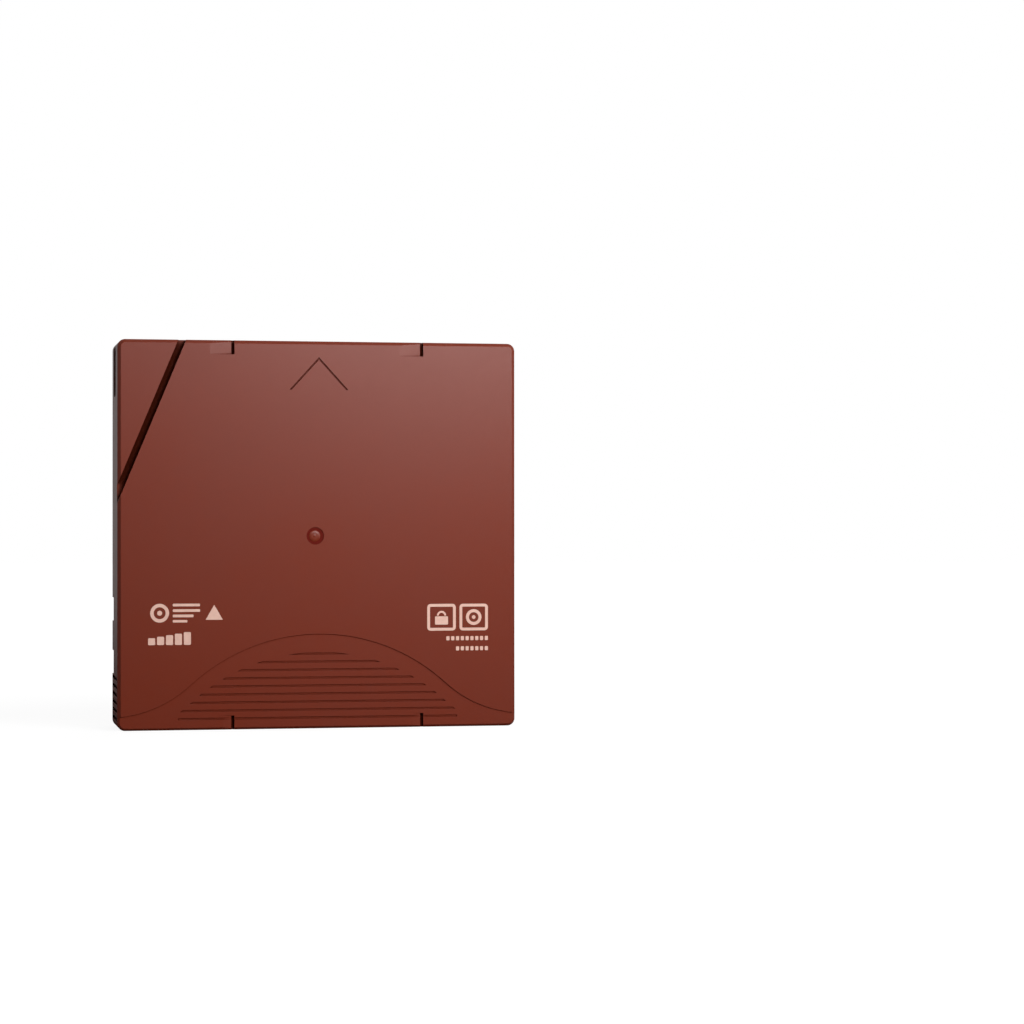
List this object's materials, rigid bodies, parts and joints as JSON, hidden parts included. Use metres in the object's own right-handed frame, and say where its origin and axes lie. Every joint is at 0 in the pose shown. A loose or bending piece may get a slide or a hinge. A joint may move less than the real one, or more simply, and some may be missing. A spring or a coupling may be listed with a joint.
{
  "type": "data tape cartridge",
  "caption": "Single-reel data tape cartridge: two-part moulded case, spring-loaded side door, toothed reel hub, brake, leader pin and write-protect slider.",
  "frame": {"origin": "centre of the bounding box in plan, at the bottom: the case stands on its rear edge", "axes": "+X across the cartridge towards the door side, +Y towards the drive window face, +Z towards the insertion edge"},
  "size_m": [0.1054, 0.0216, 0.102],
  "materials": {
    "case": "satin moulded, dark burgundy",
    "steel": "satin",
    "spring_steel": "satin",
    "reel_plastic": "matte light grey",
    "brake_plastic": "matte off-white",
    "door_plastic": "matte charcoal",
    "tape": "smooth dark brown film",
    "slider_plastic": "matte red",
    "board": "satin green laminate",
    "chip": "matte black resin"
  },
  "bodies": {
    "case": {"top_shell": "case", "bottom_shell": "case", "case_screws": "steel", "leader_pin": "steel", "leader_clip": "brake_plastic", "tape_leader": "tape", "pin_spring_upper": "spring_steel", "pin_spring_lower": "spring_steel", "memory_board": "board", "memory_chip": "chip", "door_spring": "spring_steel", "brake_spring": "spring_steel"},
    "reel": {"reel_hub": "reel_plastic", "reel_flange": "reel_plastic", "clutch_plate": "steel", "tape_pack": "tape"},
    "brake": {"brake_button": "brake_plastic"},
    "release": {"release_pad": "brake_plastic"},
    "door": {"door": "door_plastic"},
    "write_protect": {"write_protect_slider": "slider_plastic"}
  },
  "joints": [
    {"name": "door_slide", "type": "slide", "parent": "case", "child": "door", "axis": [0, 0, -1], "range_m": [0, 0.0185], "stiffness_N_per_m": 40, "springref_m": -0.01, "deforming": ["door_spring"]},
    {"name": "write_protect_slide", "type": "slide", "parent": "case", "child": "write_protect", "axis": [1, 0, 0], "range_m": [0, 0.0032]},
    {"name": "reel_spin", "type": "hinge", "parent": "case", "child": "reel", "pos_m": [-0.001, 0, 0.0507], "axis": [0, 1, 0], "continuous": true},
    {"name": "brake_lift", "type": "slide", "parent": "case", "child": "brake", "axis": [0, -1, 0], "range_m": [0, 0.002], "stiffness_N_per_m": 200, "springref_m": -0.008, "deforming": ["brake_spring"]},
    {"name": "pad_lift", "type": "slide", "parent": "reel", "child": "release", "axis": [0, -1, 0], "range_m": [0, 0.002]}
  ],
  "couplings": [
    {"joint": "pad_lift", "follows": "brake_lift", "ratio": 1}
  ]
}
